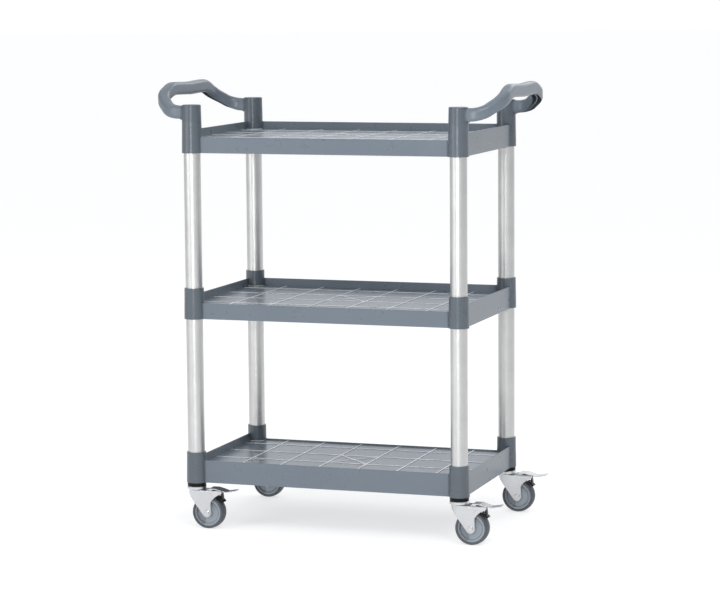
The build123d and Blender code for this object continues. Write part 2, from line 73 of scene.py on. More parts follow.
CORNERS = ("front_left", "front_right", "rear_left", "rear_right")
TIERS = ("lower", "middle", "upper")
MILLIMETRE = 0.001
LATHE_STEPS = 144
LATHE_EDGE_ANGLE = 40.0

# Vertices closer than this are joined before an edge is rounded.
WELD_DISTANCE = 0.002 * MILLIMETRE
# Faces that meet at more than this many degrees make an edge.
EDGE_ANGLE = 32.0
EDGE_SEGMENTS = 3

# Play between a lathed piece and the piece in its bore.
BORE_PLAY = 0.05 * MILLIMETRE
HUB_BOSS_WALL = 5.0 * MILLIMETRE

# From the frame: how far one tray stands over the next, and where the posts stand.
TIER_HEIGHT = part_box("middle_tray")[0].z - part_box("lower_tray")[0].z
POST_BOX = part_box("upper_post_rear_right")
POST_MIDDLE = (POST_BOX[0] + POST_BOX[1]) / 2
# The sockets' plastic lies within this distance of a post's axis, and gets painted shade there.
SOCKET_REACH = 25.2 * MILLIMETRE
# The beads' tops lie just over this level of the lower tray, inside these half sizes.
BEAD_LEVEL = 137.9 * MILLIMETRE
BEAD_HALF_LENGTH = 322.0 * MILLIMETRE
BEAD_HALF_WIDTH = 195.0 * MILLIMETRE

ZINC_COLOUR = (0.60, 0.61, 0.625, 1.0)
WORN_TRAY_COLOUR = (0.22, 0.26, 0.31, 1.0)
WORN_HANDLE_COLOUR = (0.22, 0.27, 0.32, 1.0)
WORN_HUB_COLOUR = (0.42, 0.45, 0.48, 1.0)
SCUFFED_RUBBER_COLOUR = (0.21, 0.22, 0.23, 1.0)
SKY_COLOUR = (0.955, 0.985, 1.03, 1.0)

# Sockets of a Mix node that blends colours.
MIX_FIRST = 6
MIX_SECOND = 7
MIX_RESULT = 2

# How the fine lines of a metal are stretched.
ALONG_Z = (700.0, 700.0, 5.0)
ROUND_ALL = (160.0, 160.0, 160.0)

# The surround is bright towards this side and darker elsewhere.
BRIGHT_SIDE = (-0.064, 0.998, 0.0)
DARK_LEVEL = 0.32
BRIGHT_LEVEL = 1.07
# Each light's name, place, width and height, and power in watts.
SOFTBOXES = (
    ("key_softbox", (1.3, -1.7, 2.15), (1.0, 1.0), 24.0),
    ("strip_light", (0.47, -3.97, 1.25), (0.20, 1.9), 42.0),
    ("side_softbox", (-2.5, -3.0, 1.7), (1.7, 2.2), 42.0),
    ("back_softbox", (1.0, 3.2, 2.8), (2.4, 1.4), 22.0),
)
FLOOR_RADIUS = 60.0
FLOOR_STEPS = 96
# The floor gives some light of its own, so that the trolley's shadow stays soft.
FLOOR_GLOW = 0.64
OVERHEAD_STRENGTH = 1.2
OVERHEAD_ANGLE = 100.0

# The viewing direction in degrees, how far off the camera stands, and where it aims.
VIEW_AZIMUTH = 18.76
VIEW_ELEVATION = 6.875
VIEW_ROLL = -0.424
VIEW_DISTANCE = 6.0612
VIEW_MIDDLE = Vector((0.0, 0.0, 0.480))
VIEW_ASIDE = 0.01709
VIEW_ABOVE = 0.02927
VIEW_LIMIT = 200.0
LENS = 132.08
SENSOR = 36.0


def grey(value):
    """A neutral colour."""
    return (value, value, value, 1.0)


def colour4(colour):
    """A three-part colour property as the four numbers that a colour socket takes."""
    return (*colour, 1.0)


# ---------------------------------------------------------------- node helpers
def place(tree, kind, x, y, **settings):
    """Add a node at a place in the editor, with its own settings."""
    node = tree.nodes.new(kind)
    node.location = (x, y)
    for name, value in settings.items():
        setattr(node, name, value)
    return node


def set_inputs(node, **values):
    """Set a node's unlinked sockets by name, with underscores for spaces."""
    for name, value in values.items():
        node.inputs[name.replace("_", " ")].default_value = value


def new_group(name, inputs, outputs):
    """Start a shader node group, and return its tree with its two end nodes."""
    tree = bpy.data.node_groups.new(name, "ShaderNodeTree")
    for socket_name, kind, default in inputs:
        socket = tree.interface.new_socket(socket_name, in_out="INPUT", socket_type=kind)
        socket.default_value = default
    for socket_name, kind in outputs:
        tree.interface.new_socket(socket_name, in_out="OUTPUT", socket_type=kind)
    start = place(tree, "NodeGroupInput", -900, 0)
    end = place(tree, "NodeGroupOutput", 700, 0)
    return tree, start, end


def use_group(tree, group, x, y, **values):
    """Place a node group in a material and set its own values."""
    node = place(tree, "ShaderNodeGroup", x, y)
    node.node_tree = group
    set_inputs(node, **values)
    return node


def new_material(name):
    """An empty material with its Principled shader."""
    material = bpy.data.materials.new(name)
    material.use_nodes = True
    tree = material.node_tree
    shader = tree.nodes["Principled BSDF"]
    return material, tree, shader


# ---------------------------------------------------------------- shared effects
def edge_wear_group():
    """Mask of the outside edges, broken up by noise, where handling polishes or pales them."""
    tree, start, end = new_group(
        "Edge Wear",
        [
            ("Radius", "NodeSocketFloat", 0.0015),
            ("Amount", "NodeSocketFloat", 0.6),
            ("Breakup Scale", "NodeSocketFloat", 60.0),
        ],
        [("Mask", "NodeSocketFloat")],
    )
    links = tree.links
    bevel = place(tree, "ShaderNodeBevel", -700, 200, samples=4)
    surface = place(tree, "ShaderNodeNewGeometry", -700, 0)
    facing = place(tree, "ShaderNodeVectorMath", -500, 100, operation="DOT_PRODUCT")
    turned = place(tree, "ShaderNodeMapRange", -300, 100)
    set_inputs(turned, From_Min=0.995, From_Max=0.90, To_Min=0.0, To_Max=1.0)
    where = place(tree, "ShaderNodeTexCoord", -700, -200)
    breakup = place(tree, "ShaderNodeTexNoise", -500, -200)
    set_inputs(breakup, Detail=4.0, Roughness=0.6)
    contrast = place(tree, "ShaderNodeMapRange", -300, -200)
    set_inputs(contrast, From_Min=0.35, From_Max=0.65)
    both = place(tree, "ShaderNodeMath", -100, 0, operation="MULTIPLY")
    scaled = place(tree, "ShaderNodeMath", 100, 0, operation="MULTIPLY", use_clamp=True)
    links.new(start.outputs["Radius"], bevel.inputs["Radius"])
    links.new(bevel.outputs["Normal"], facing.inputs[0])
    links.new(surface.outputs["Normal"], facing.inputs[1])
    links.new(facing.outputs["Value"], turned.inputs["Value"])
    links.new(where.outputs["Object"], breakup.inputs["Vector"])
    links.new(start.outputs["Breakup Scale"], breakup.inputs["Scale"])
    links.new(breakup.outputs["Fac"], contrast.inputs["Value"])
    links.new(turned.outputs["Result"], both.inputs[0])
    links.new(contrast.outputs["Result"], both.inputs[1])
    links.new(both.outputs["Value"], scaled.inputs[0])
    links.new(start.outputs["Amount"], scaled.inputs[1])
    links.new(scaled.outputs["Value"], end.inputs["Mask"])
    return tree


def moulded_skin_group():
    """Colour drift, roughness and fine spark texture of an injection-moulded surface."""
    tree, start, end = new_group(
        "Moulded Skin",
        [
            ("Colour", "NodeSocketColor", grey(0.3)),
            ("Drift", "NodeSocketFloat", 0.03),
            ("Roughness", "NodeSocketFloat", 0.4),
            ("Roughness Spread", "NodeSocketFloat", 0.05),
            ("Grain Scale", "NodeSocketFloat", 900.0),
        ],
        [
            ("Colour", "NodeSocketColor"),
            ("Roughness", "NodeSocketFloat"),
            ("Height", "NodeSocketFloat"),
        ],
    )
    links = tree.links
    where = place(tree, "ShaderNodeTexCoord", -900, -250)
    cloud = place(tree, "ShaderNodeTexNoise", -650, 200)
    set_inputs(cloud, Scale=7.0, Detail=5.0, Roughness=0.55)
    swing = place(tree, "ShaderNodeMapRange", -450, 200)
    set_inputs(swing, From_Min=0.3, From_Max=0.7, To_Min=-1.0, To_Max=1.0)
    amount = place(tree, "ShaderNodeMath", -250, 200, operation="MULTIPLY")
    value = place(tree, "ShaderNodeMath", -80, 200, operation="ADD")
    value.inputs[1].default_value = 1.0
    shade = place(tree, "ShaderNodeHueSaturation", 120, 200)
    patches = place(tree, "ShaderNodeTexNoise", -650, -50)
    set_inputs(patches, Scale=38.0, Detail=6.0, Roughness=0.65)
    centred = place(tree, "ShaderNodeMath", -450, -50, operation="SUBTRACT")
    centred.inputs[1].default_value = 0.5
    spread = place(tree, "ShaderNodeMath", -250, -50, operation="MULTIPLY_ADD")
    grain = place(tree, "ShaderNodeTexNoise", -650, -300)
    set_inputs(grain, Detail=2.0, Roughness=0.5)
    links.new(where.outputs["Object"], cloud.inputs["Vector"])
    links.new(where.outputs["Object"], patches.inputs["Vector"])
    links.new(where.outputs["Object"], grain.inputs["Vector"])
    links.new(start.outputs["Grain Scale"], grain.inputs["Scale"])
    links.new(cloud.outputs["Fac"], swing.inputs["Value"])
    links.new(swing.outputs["Result"], amount.inputs[0])
    links.new(start.outputs["Drift"], amount.inputs[1])
    links.new(amount.outputs["Value"], value.inputs[0])
    links.new(value.outputs["Value"], shade.inputs["Value"])
    links.new(start.outputs["Colour"], shade.inputs["Color"])
    links.new(patches.outputs["Fac"], centred.inputs[0])
    links.new(centred.outputs["Value"], spread.inputs[0])
    links.new(start.outputs["Roughness Spread"], spread.inputs[1])
    links.new(start.outputs["Roughness"], spread.inputs[2])
    links.new(shade.outputs["Color"], end.inputs["Colour"])
    links.new(spread.outputs["Value"], end.inputs["Roughness"])
    links.new(grain.outputs["Fac"], end.inputs["Height"])
    return tree


def deck_bead_highlights_group():
    """Mask of the fine beads' tops on the three decks, uneven along them, for their painted
    highlight.
    """
    tree, start, end = new_group(
        "Deck Bead Highlights",
        [
            ("First Level", "NodeSocketFloat", BEAD_LEVEL),
            ("Tier Height", "NodeSocketFloat", TIER_HEIGHT),
            ("Half Length", "NodeSocketFloat", BEAD_HALF_LENGTH),
            ("Half Width", "NodeSocketFloat", BEAD_HALF_WIDTH),
        ],
        [("Mask", "NodeSocketFloat")],
    )
    links = tree.links
    where = place(tree, "ShaderNodeTexCoord", -1300, 0)
    parts = place(tree, "ShaderNodeSeparateXYZ", -1100, 0)
    above = place(tree, "ShaderNodeMath", -700, 300, operation="SUBTRACT")
    in_tier = place(tree, "ShaderNodeMath", -500, 300, operation="FLOORED_MODULO")
    near_deck = place(tree, "ShaderNodeMapRange", -300, 300)
    set_inputs(near_deck, From_Min=0.0010, From_Max=0.0011, To_Min=1.0, To_Max=0.0)
    along = place(tree, "ShaderNodeMath", -700, 60, operation="ABSOLUTE")
    inside_length = place(tree, "ShaderNodeMath", -500, 60, operation="LESS_THAN")
    across = place(tree, "ShaderNodeMath", -700, -120, operation="ABSOLUTE")
    inside_width = place(tree, "ShaderNodeMath", -500, -120, operation="LESS_THAN")
    both = place(tree, "ShaderNodeMath", -300, 0, operation="MULTIPLY")
    bead = place(tree, "ShaderNodeMath", -100, 150, operation="MULTIPLY")
    uneven = place(tree, "ShaderNodeTexNoise", -500, -320)
    set_inputs(uneven, Scale=24.0, Detail=4.0, Roughness=0.6)
    strength = place(tree, "ShaderNodeMapRange", -300, -320)
    set_inputs(strength, From_Min=0.35, From_Max=0.55, To_Min=0.75, To_Max=1.0)
    result = place(tree, "ShaderNodeMath", 100, 0, operation="MULTIPLY")
    links.new(where.outputs["Object"], parts.inputs[0])
    links.new(parts.outputs["Z"], above.inputs[0])
    links.new(start.outputs["First Level"], above.inputs[1])
    links.new(above.outputs[0], in_tier.inputs[0])
    links.new(start.outputs["Tier Height"], in_tier.inputs[1])
    links.new(in_tier.outputs[0], near_deck.inputs["Value"])
    links.new(parts.outputs["X"], along.inputs[0])
    links.new(along.outputs[0], inside_length.inputs[0])
    links.new(start.outputs["Half Length"], inside_length.inputs[1])
    links.new(parts.outputs["Y"], across.inputs[0])
    links.new(across.outputs[0], inside_width.inputs[0])
    links.new(start.outputs["Half Width"], inside_width.inputs[1])
    links.new(inside_length.outputs[0], both.inputs[0])
    links.new(inside_width.outputs[0], both.inputs[1])
    links.new(near_deck.outputs["Result"], bead.inputs[0])
    links.new(both.outputs[0], bead.inputs[1])
    links.new(where.outputs["Object"], uneven.inputs["Vector"])
    links.new(uneven.outputs["Fac"], strength.inputs["Value"])
    links.new(bead.outputs[0], result.inputs[0])
    links.new(strength.outputs["Result"], result.inputs[1])
    links.new(result.outputs[0], end.inputs["Mask"])
    return tree


def post_socket_shade_group():
    """Mask of everything round the four posts, where the plastic gets painted shade."""
    tree, start, end = new_group(
        "Post Socket Shade",
        [
            ("Post Middle", "NodeSocketVector", (POST_MIDDLE.x, POST_MIDDLE.y, 0.0)),
            ("Radius", "NodeSocketFloat", SOCKET_REACH),
        ],
        [("Mask", "NodeSocketFloat")],
    )
    links = tree.links
    where = place(tree, "ShaderNodeTexCoord", -1300, 0)
    folded = place(tree, "ShaderNodeVectorMath", -1100, 0, operation="ABSOLUTE")
    offset = place(tree, "ShaderNodeVectorMath", -700, 0, operation="SUBTRACT")
    flat = place(tree, "ShaderNodeVectorMath", -500, 0, operation="MULTIPLY")
    flat.inputs[1].default_value = (1.0, 1.0, 0.0)
    away = place(tree, "ShaderNodeVectorMath", -300, 0, operation="LENGTH")
    near = place(tree, "ShaderNodeMath", -100, 0, operation="LESS_THAN")
    links.new(where.outputs["Object"], folded.inputs[0])
    links.new(folded.outputs["Vector"], offset.inputs[0])
    links.new(start.outputs["Post Middle"], offset.inputs[1])
    links.new(offset.outputs["Vector"], flat.inputs[0])
    links.new(flat.outputs["Vector"], away.inputs[0])
    links.new(away.outputs["Value"], near.inputs[0])
    links.new(start.outputs["Radius"], near.inputs[1])
    links.new(near.outputs[0], end.inputs["Mask"])
    return tree


def drawn_metal_group():
    """Fine lines along a chosen direction, as drawing or rolling leaves them in metal."""
    tree, start, end = new_group(
        "Drawn Metal",
        [
            ("Colour", "NodeSocketColor", grey(0.8)),
            ("Stretch", "NodeSocketVector", (900.0, 900.0, 6.0)),
            ("Roughness", "NodeSocketFloat", 0.3),
            ("Roughness Spread", "NodeSocketFloat", 0.15),
            ("Drift", "NodeSocketFloat", 0.05),
        ],
        [
            ("Colour", "NodeSocketColor"),
            ("Roughness", "NodeSocketFloat"),
            ("Height", "NodeSocketFloat"),
        ],
    )
    links = tree.links
    where = place(tree, "ShaderNodeTexCoord", -1100, -100)
    scaled = place(tree, "ShaderNodeVectorMath", -700, -100, operation="MULTIPLY")
    lines = place(tree, "ShaderNodeTexNoise", -500, -100)
    set_inputs(lines, Scale=1.0, Detail=3.0, Roughness=0.6)
    bloom = place(tree, "ShaderNodeTexNoise", -500, 200)
    set_inputs(bloom, Scale=22.0, Detail=5.0, Roughness=0.6)
    rough_swing = place(tree, "ShaderNodeMath", -300, -100, operation="SUBTRACT")
    rough_swing.inputs[1].default_value = 0.5
    rough = place(tree, "ShaderNodeMath", -100, -100, operation="MULTIPLY_ADD")
    shade_swing = place(tree, "ShaderNodeMapRange", -300, 200)
    set_inputs(shade_swing, From_Min=0.3, From_Max=0.7, To_Min=-1.0, To_Max=1.0)
    amount = place(tree, "ShaderNodeMath", -100, 200, operation="MULTIPLY_ADD")
    amount.inputs[2].default_value = 1.0
    shade = place(tree, "ShaderNodeHueSaturation", 120, 200)
    links.new(where.outputs["Object"], scaled.inputs[0])
    links.new(start.outputs["Stretch"], scaled.inputs[1])
    links.new(scaled.outputs["Vector"], lines.inputs["Vector"])
    links.new(where.outputs["Object"], bloom.inputs["Vector"])
    links.new(lines.outputs["Fac"], rough_swing.inputs[0])
    links.new(rough_swing.outputs["Value"], rough.inputs[0])
    links.new(start.outputs["Roughness Spread"], rough.inputs[1])
    links.new(start.outputs["Roughness"], rough.inputs[2])
    links.new(bloom.outputs["Fac"], shade_swing.inputs["Value"])
    links.new(shade_swing.outputs["Result"], amount.inputs[0])
    links.new(start.outputs["Drift"], amount.inputs[1])
    links.new(amount.outputs["Value"], shade.inputs["Value"])
    links.new(start.outputs["Colour"], shade.inputs["Color"])
    links.new(shade.outputs["Color"], end.inputs["Colour"])
    links.new(rough.outputs["Value"], end.inputs["Roughness"])
    links.new(lines.outputs["Fac"], end.inputs["Height"])
    return tree


GROUP_MAKERS = {
    "Edge Wear": edge_wear_group,
    "Moulded Skin": moulded_skin_group,
    "Deck Bead Highlights": deck_bead_highlights_group,
    "Post Socket Shade": post_socket_shade_group,
    "Drawn Metal": drawn_metal_group,
}


def group(name):
    """A shared effect, built the first time that it is asked for."""
    return bpy.data.node_groups.get(name) or GROUP_MAKERS[name]()


# ---------------------------------------------------------------- materials
def moulded_plastic(name, colour, roughness, grain_depth, shine, wear_colour):
    """Injection-moulded plastic with a fine skin, slight drift in colour, paler worn edges and
    painted shade round the post sockets.
    """
    material, tree, shader = new_material(name)
    links = tree.links
    skin = use_group(tree, group("Moulded Skin"), -700, 200, Colour=colour, Roughness=roughness)
    wear = use_group(tree, group("Edge Wear"), -700, -150, Radius=0.0012, Amount=0.25)
    worn = place(tree, "ShaderNodeMix", -350, 200, data_type="RGBA")
    worn.inputs[MIX_SECOND].default_value = wear_colour
    # Painted shade: the plastic round the posts is darkened to two thirds, standing in for the
    # dark reflection on the glossy collars.
    sockets = use_group(tree, group("Post Socket Shade"), -700, 480)
    shade = place(tree, "ShaderNodeMapRange", -500, 480)
    set_inputs(shade, To_Min=1.0, To_Max=0.66)
    darker = place(tree, "ShaderNodeHueSaturation", -160, 200)
    bump = place(tree, "ShaderNodeBump", -350, -200)
    set_inputs(bump, Strength=0.2, Distance=grain_depth)
    set_inputs(shader, Specular_IOR_Level=shine, IOR=1.5)
    links.new(wear.outputs["Mask"], worn.inputs["Factor"])
    links.new(skin.outputs["Colour"], worn.inputs[MIX_FIRST])
    links.new(sockets.outputs["Mask"], shade.inputs["Value"])
    links.new(shade.outputs["Result"], darker.inputs["Value"])
    links.new(worn.outputs[MIX_RESULT], darker.inputs["Color"])
    links.new(darker.outputs["Color"], shader.inputs["Base Color"])
    links.new(skin.outputs["Roughness"], shader.inputs["Roughness"])
    links.new(skin.outputs["Height"], bump.inputs["Height"])
    links.new(bump.outputs["Normal"], shader.inputs["Normal"])
    return material


def plated_metal(name, colour, roughness, stretch, line_depth, wear):
    """Bare, plated or anodised metal with fine lines from the mill and polished edges."""
    material, tree, shader = new_material(name)
    links = tree.links
    lines = use_group(
        tree, group("Drawn Metal"), -700, 200,
        Colour=colour, Stretch=stretch, Roughness=roughness,
    )
    edges = use_group(tree, group("Edge Wear"), -700, -150, Radius=0.0008, Amount=wear)
    polish = place(tree, "ShaderNodeMath", -350, 50, operation="MULTIPLY_ADD", use_clamp=True)
    polish.inputs[1].default_value = -0.12
    bump = place(tree, "ShaderNodeBump", -350, -200)
    set_inputs(bump, Strength=0.25, Distance=line_depth)
    set_inputs(shader, Metallic=1.0)
    links.new(lines.outputs["Colour"], shader.inputs["Base Color"])
    links.new(edges.outputs["Mask"], polish.inputs[0])
    links.new(lines.outputs["Roughness"], polish.inputs[2])
    links.new(polish.outputs["Value"], shader.inputs["Roughness"])
    links.new(lines.outputs["Height"], bump.inputs["Height"])
    links.new(bump.outputs["Normal"], shader.inputs["Normal"])
    return material


def tyre_rubber(settings):
    """Grey thermoplastic rubber: a dull skin, scuffed paler on its shoulders."""
    material, tree, shader = new_material("tyre_rubber")
    links = tree.links
    skin = use_group(
        tree, group("Moulded Skin"), -700, 200,
        Colour=colour4(settings.tyre_colour), Drift=0.07,
        Roughness=0.58, Roughness_Spread=0.16, Grain_Scale=1400.0,
    )
    scuff = use_group(
        tree, group("Edge Wear"), -700, -150, Radius=0.004, Amount=0.5, Breakup_Scale=180.0
    )
    scuffed = place(tree, "ShaderNodeMix", -350, 200, data_type="RGBA")
    scuffed.inputs[MIX_SECOND].default_value = SCUFFED_RUBBER_COLOUR
    bump = place(tree, "ShaderNodeBump", -350, -200)
    set_inputs(bump, Strength=0.5, Distance=0.00012)
    links.new(scuff.outputs["Mask"], scuffed.inputs["Factor"])
    links.new(skin.outputs["Colour"], scuffed.inputs[MIX_FIRST])
    links.new(scuffed.outputs[MIX_RESULT], shader.inputs["Base Color"])
    links.new(skin.outputs["Roughness"], shader.inputs["Roughness"])
    links.new(skin.outputs["Height"], bump.inputs["Height"])
    links.new(bump.outputs["Normal"], shader.inputs["Normal"])
    return material


def tray_plastic(settings):
    """The blue-grey of the three trays, with a painted highlight on their deck beads."""
    material = moulded_plastic(
        "tray_plastic",
        colour=colour4(settings.plastic_colour),
        roughness=settings.plastic_roughness,
        grain_depth=0.01 * MILLIMETRE,
        shine=0.5,
        wear_colour=WORN_TRAY_COLOUR,
    )
    tree = material.node_tree
    shader = tree.nodes["Principled BSDF"]
    plain = shader.inputs["Base Color"].links[0].from_socket
    # Painted highlight: the beads' tops are made near-white, standing in for the glint of the
    # lights along them.
    beads = use_group(tree, group("Deck Bead Highlights"), -350, 450)
    highlighted = place(tree, "ShaderNodeMix", -120, 300, data_type="RGBA")
    highlighted.inputs[MIX_SECOND].default_value = colour4(settings.bead_highlight_colour)
    tree.links.new(beads.outputs["Mask"], highlighted.inputs["Factor"])
    tree.links.new(plain, highlighted.inputs[MIX_FIRST])
    tree.links.new(highlighted.outputs[MIX_RESULT], shader.inputs["Base Color"])
    return material


def handle_plastic(settings):
    """The handles' plastic, a touch duller than the trays'."""
    return moulded_plastic(
        "handle_plastic",
        colour=colour4(settings.plastic_colour),
        roughness=0.30,
        grain_depth=0.01 * MILLIMETRE,
        shine=0.38,
        wear_colour=WORN_HANDLE_COLOUR,
    )


def hub_plastic(settings):
    """The paler grey of the wheel centres."""
    return moulded_plastic(
        "hub_plastic",
        colour=colour4(settings.hub_colour),
        roughness=0.42,
        grain_depth=0.02 * MILLIMETRE,
        shine=0.5,
        wear_colour=WORN_HUB_COLOUR,
    )


def black_nylon():
    """The black of the inserts and the brake shoes."""
    return moulded_plastic(
        "black_nylon",
        colour=grey(0.005),
        roughness=0.34,
        grain_depth=0.02 * MILLIMETRE,
        shine=0.18,
        wear_colour=grey(0.02),
    )


def anodised_aluminium(settings):
    """The posts' satin tube, drawn along its length."""
    return plated_metal(
        "anodised_aluminium",
        colour=colour4(settings.post_colour),
        roughness=settings.post_roughness,
        stretch=ALONG_Z,
        line_depth=0.02 * MILLIMETRE,
        wear=0.2,
    )


def bright_zinc():
    """The casters' pressed and plated steel."""
    return plated_metal(
        "bright_zinc",
        colour=ZINC_COLOUR,
        roughness=0.30,
        stretch=ROUND_ALL,
        line_depth=0.02 * MILLIMETRE,
        wear=0.8,
    )


def bearing_steel():
    """Ground steel of the balls, sleeves and springs."""
    return plated_metal(
        "bearing_steel",
        colour=grey(0.62),
        roughness=0.24,
        stretch=ROUND_ALL,
        line_depth=0.02 * MILLIMETRE,
        wear=0.4,
    )


def dress(node, material, round_edges):
    """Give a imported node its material, and round its edges without touching its own mesh."""
    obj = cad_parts[node]
    obj.data.materials.clear()
    obj.data.materials.append(material)
    # Stored normals no longer fit once the faces are welded, so they are worked out anew.
    for name in ("custom_normal", "sharp_edge", "sharp_face"):
        stored = obj.data.attributes.get(name)
        if stored:
            obj.data.attributes.remove(stored)
    obj.data.shade_smooth()
    weld = obj.modifiers.new("Weld", "WELD")
    weld.merge_threshold = WELD_DISTANCE
    if round_edges > 0:
        bevel = obj.modifiers.new("Rounded edges", "BEVEL")
        bevel.width = round_edges
        bevel.segments = EDGE_SEGMENTS
        bevel.limit_method = "ANGLE"
        bevel.angle_limit = math.radians(EDGE_ANGLE)
        bevel.harden_normals = True
    else:
        split = obj.modifiers.new("Sharp edges", "EDGE_SPLIT")
        split.split_angle = math.radians(EDGE_ANGLE)


# ---------------------------------------------------------------- lathed pieces
def arc_points(centre, radius, start, stop, steps):
    """Points of a round stretch in a profile, from one angle to the other in degrees."""
    turn = math.radians(stop - start) / steps
    points = []
    for step in range(steps + 1):
        angle = math.radians(start) + turn * step
        points.append((centre[0] + radius * math.cos(angle), centre[1] + radius * math.sin(angle)))
    return points


def lathe(name, profile, centre):
    """Turn a closed profile of (radius, y) points about a Y axis through centre, as one mesh."""
    count = len(profile)
    vertices = []
    for step in range(LATHE_STEPS):
        angle = 2 * math.pi * step / LATHE_STEPS
        for radius, across in profile:
            vertices.append(
                (
                    centre.x + radius * math.cos(angle),
                    centre.y + across,
                    centre.z + radius * math.sin(angle),
                )
            )
    faces = []
    for step in range(LATHE_STEPS):
        here = step * count
        there = (step + 1) % LATHE_STEPS * count
        for point in range(count):
            following = (point + 1) % count
            faces.append((here + point, there + point, there + following, here + following))
    mesh = bpy.data.meshes.new(name)
    mesh.from_pydata(vertices, [], faces)
    mesh.validate()
    mesh.shade_smooth()
    mesh.set_sharp_from_angle(angle=math.radians(LATHE_EDGE_ANGLE))
    piece = bpy.data.objects.new(name, mesh)
    bpy.context.scene.collection.objects.link(piece)
    return piece


def mirrored(half):
    """A closed profile from its half at y > 0, listed from the inside out."""
    return half + [(radius, -across) for radius, across in reversed(half)]


def wheel_centre(corner):
    """Middle of a caster's wheel, from the box of its tyre."""
    low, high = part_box(f"{corner}_tyre")
    return (low + high) / 2


def tyre_profile(low, high, bore_radius, shoulder, crown):
    """Half of the tyre's section: bead, side wall with a fine rib, round shoulder and crown."""
    outer = (high.z - low.z) / 2
    half_width = (high.y - low.y) / 2
    bead = 1.5 * MILLIMETRE
    rib = 0.25 * MILLIMETRE
    rib_radius = bore_radius + 0.42 * (outer - shoulder - bore_radius) + bead / 2
    side = half_width - rib
    points = [(bore_radius, side - bead)]
    points += arc_points((bore_radius + bead, side - bead), bead, 180, 90, 5)[1:]
    points += arc_points((rib_radius, side), rib * 2, 180, 0, 8)
    edge = outer - crown
    points += arc_points((edge - shoulder, half_width - shoulder), shoulder, 90, 12, 8)
    crown_slope = half_width * 0.45
    crown_flat = half_width * 0.12
    points.append((outer - crown / 3, crown_slope))
    points.append((outer, crown_flat))
    return mirrored(points)


def hub_profile(low, high, bore_radius, boss_radius):
    """Half of the hub's section: bore, boss, dished disc, moulded ring groove and round rim."""
    outer = (high.z - low.z) / 2
    half_width = (high.y - low.y) / 2
    rim_half = half_width * 0.84
    rim_inner = outer - 5.2 * MILLIMETRE
    disc = half_width * 0.56
    groove = 1.2 * MILLIMETRE
    edge = 0.6 * MILLIMETRE
    rim_radius = 2.4 * MILLIMETRE
    rim_foot = rim_half - rim_radius * 1.3
    rim_lip = rim_half - rim_radius * 0.25
    dish_depth = 0.5 * MILLIMETRE
    dish_steps = 6
    points = [(bore_radius, half_width - edge), (bore_radius + edge, half_width)]
    points += arc_points((boss_radius - edge, half_width - edge), edge, 90, 0, 4)
    points += arc_points((boss_radius + edge * 3, disc + edge * 2), edge * 2, 180, 270, 5)
    dish_start = boss_radius + edge * 4
    dish_end = rim_inner - groove * 1.6
    for step in range(1, dish_steps + 1):
        share = step / dish_steps
        dish = dish_depth * math.sin(math.pi * share)
        points.append((dish_start + (dish_end - dish_start) * share, disc - dish))
    points += arc_points((dish_end + groove * 0.8, disc), groove * 0.8, 180, 360, 7)[1:]
    points.append((rim_inner, rim_foot))
    points += arc_points(
        (rim_inner + rim_radius, rim_half - rim_radius), rim_radius, 180, 70, 8
    )
    points.append((outer - edge, rim_lip))
    points.append((outer, rim_lip - edge))
    return mirrored(points)


# ---------------------------------------------------------------- settings
class TrolleyFinishSettings(bpy.types.PropertyGroup):
    """Colours and sizes of the trolley's finish."""

    plastic_colour: FloatVectorProperty(
        name="Tray Plastic", description="Colour of the trays and handles",
        default=(0.124, 0.150, 0.180), min=0.0, max=1.0, subtype="COLOR",
    )
    plastic_roughness: FloatProperty(
        name="Tray Roughness", description="How satin the trays' plastic is",
        default=0.28, min=0.0, max=1.0, subtype="FACTOR",
    )
    # Near-white of the painted highlight on the deck beads.
    bead_highlight_colour: FloatVectorProperty(
        name="Deck Bead Highlights", description="Colour of the rubbed beads on the decks",
        default=(0.86, 0.88, 0.90), min=0.0, max=1.0, subtype="COLOR",
    )
    hub_colour: FloatVectorProperty(
        name="Wheel Centre", description="Colour of the wheels' moulded centres",
        default=(0.25, 0.28, 0.315), min=0.0, max=1.0, subtype="COLOR",
    )
    tyre_colour: FloatVectorProperty(
        name="Tyre", description="Colour of the tyres' rubber",
        default=(0.058, 0.068, 0.082), min=0.0, max=1.0, subtype="COLOR",
    )
    post_colour: FloatVectorProperty(
        name="Post", description="Colour of the anodised tubes",
        default=(0.585, 0.585, 0.58), min=0.0, max=1.0, subtype="COLOR",
    )
    post_roughness: FloatProperty(
        name="Post Roughness", description="How satin the tubes are",
        default=0.40, min=0.0, max=1.0, subtype="FACTOR",
    )
    tray_edge: FloatProperty(
        name="Tray Edge", description="Radius on the trays' moulded edges",
        default=0.0007, min=0.0, max=0.003, unit="LENGTH",
    )
    handle_edge: FloatProperty(
        name="Handle Edge", description="Radius on the handles' open edges",
        default=0.0007, min=0.0, max=0.003, unit="LENGTH",
    )
    metal_edge: FloatProperty(
        name="Metal Edge", description="Radius on the casters' pressed edges",
        default=0.0004, min=0.0, max=0.001, unit="LENGTH",
    )
    tyre_shoulder: FloatProperty(
        name="Tyre Shoulder", description="Radius between a tyre's tread and its sides",
        default=0.0040, min=0.001, max=0.006, unit="LENGTH",
    )
    tyre_crown: FloatProperty(
        name="Tyre Crown", description="How much a tread stands up at its middle",
        default=0.0006, min=0.0, max=0.002, unit="LENGTH",
    )


# ---------------------------------------------------------------- operators
class TROLLEY_OT_trays(bpy.types.Operator):
    """Give the three trays their moulded plastic and round their edges"""

    bl_idname = "trolley.trays"
    bl_label = "Finish Trays"

    def execute(self, context):
        settings = context.scene.trolley_finish
        material = tray_plastic(settings)
        for tier in TIERS:
            dress(f"{tier}_tray", material, settings.tray_edge)
        return {"FINISHED"}


